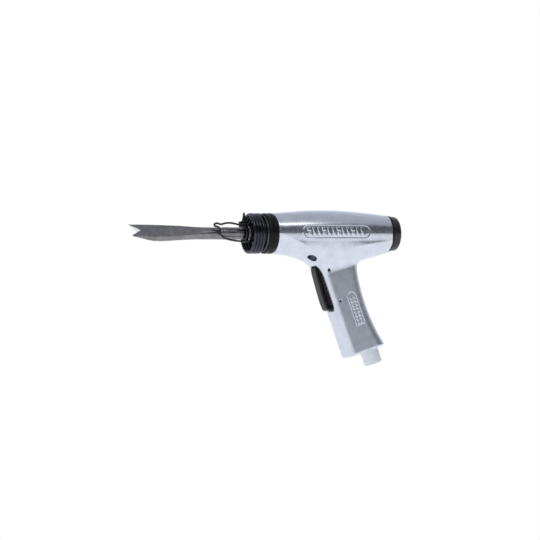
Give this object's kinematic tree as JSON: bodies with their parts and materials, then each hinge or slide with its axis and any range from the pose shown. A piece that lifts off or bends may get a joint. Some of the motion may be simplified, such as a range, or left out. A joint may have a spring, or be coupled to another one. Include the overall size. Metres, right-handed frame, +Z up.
{
  "type": "pneumatic air hammer",
  "caption": "Pistol-grip pneumatic hammer with a lever trigger, a retainer coil with a wire bail, and a forked chisel in its nose.",
  "frame": {"origin": "centre of the rear cap's flat back face, on the barrel's axis", "axes": "+X along the barrel toward the chisel's tip, +Y to the user's left, +Z up, with the grip hanging down"},
  "size_m": [0.378, 0.0626, 0.2049],
  "materials": {
    "housing": "cast and polished, satin",
    "black_cap": "satin black",
    "rubber": "satin black rubber",
    "seal": "black nitrile",
    "valve_steel": "ground steel",
    "black_steel": "black oxide",
    "spring_wire": "black lacquered wire",
    "bright_steel": "ground steel",
    "chisel_steel": "dark heat-treated steel",
    "bronze": "machined bronze",
    "trigger": "semi-gloss black",
    "inlet_steel": "zinc-plated steel",
    "cap_plastic": "translucent polyethylene"
  },
  "bodies": {
    "tool": {"housing": "housing", "rear_cap": "black_cap", "cap_seal": "seal", "thrust_ring": "seal", "valve_box": "valve_steel", "valve_seat": "valve_steel", "valve_dowel": "bright_steel", "cylinder": "black_steel", "cylinder_seals": "seal", "chisel_bush": "bronze", "nose_ring": "rubber", "retainer_coil": "spring_wire", "trigger_pin": "black_steel", "throttle_bush": "bronze", "throttle_bush_pin": "black_steel", "throttle_seat": "seal", "throttle_spring": "bright_steel", "stem_seal": "seal", "inlet_bush": "inlet_steel", "inlet_seal": "seal", "inlet_screen": "bronze"},
    "piston": {"piston": "bright_steel"},
    "chisel": {"chisel": "chisel_steel"},
    "shuttle": {"shuttle_valve": "valve_steel"},
    "trigger": {"trigger": "trigger"},
    "throttle": {"throttle_stem": "bright_steel"},
    "bail": {"retaining_bail": "spring_wire", "bail_catch": "black_steel"},
    "inlet_cap": {"dust_cap": "cap_plastic"}
  },
  "joints": [
    {"name": "piston_stroke", "type": "slide", "parent": "tool", "child": "piston", "axis": [1, 0, 0], "range_m": [0, 0.065]},
    {"name": "chisel_travel", "type": "slide", "parent": "tool", "child": "chisel", "axis": [1, 0, 0], "range_m": [-0.008, 0]},
    {"name": "shuttle_travel", "type": "slide", "parent": "tool", "child": "shuttle", "axis": [1, 0, 0], "range_m": [0, 0.002]},
    {"name": "trigger_pull", "type": "hinge", "parent": "tool", "child": "trigger", "pos_m": [0.10496, 0, -0.04891], "axis": [0, 1, 0], "range_deg": [0, 4.5], "stiffness_Nm_per_rad": 0.8, "springref_deg": -28.65, "deforming": ["throttle_spring"]},
    {"name": "throttle_open", "type": "slide", "parent": "tool", "child": "throttle", "axis": [-0.9483, 0, 0.3173], "range_m": [0, 0.0028]},
    {"name": "bail_swing", "type": "hinge", "parent": "tool", "child": "bail", "pos_m": [0.2065, 0.012, 0], "axis": [0, 0, 1], "range_deg": [0, 40]},
    {"name": "cap_pull", "type": "slide", "parent": "tool", "child": "inlet_cap", "axis": [-0.3173, 0, -0.9483], "range_m": [0, 0.06]}
  ],
  "couplings": [
    {"joint": "throttle_open", "follows": "trigger_pull", "m_per_rad": 0.0353}
  ]
}
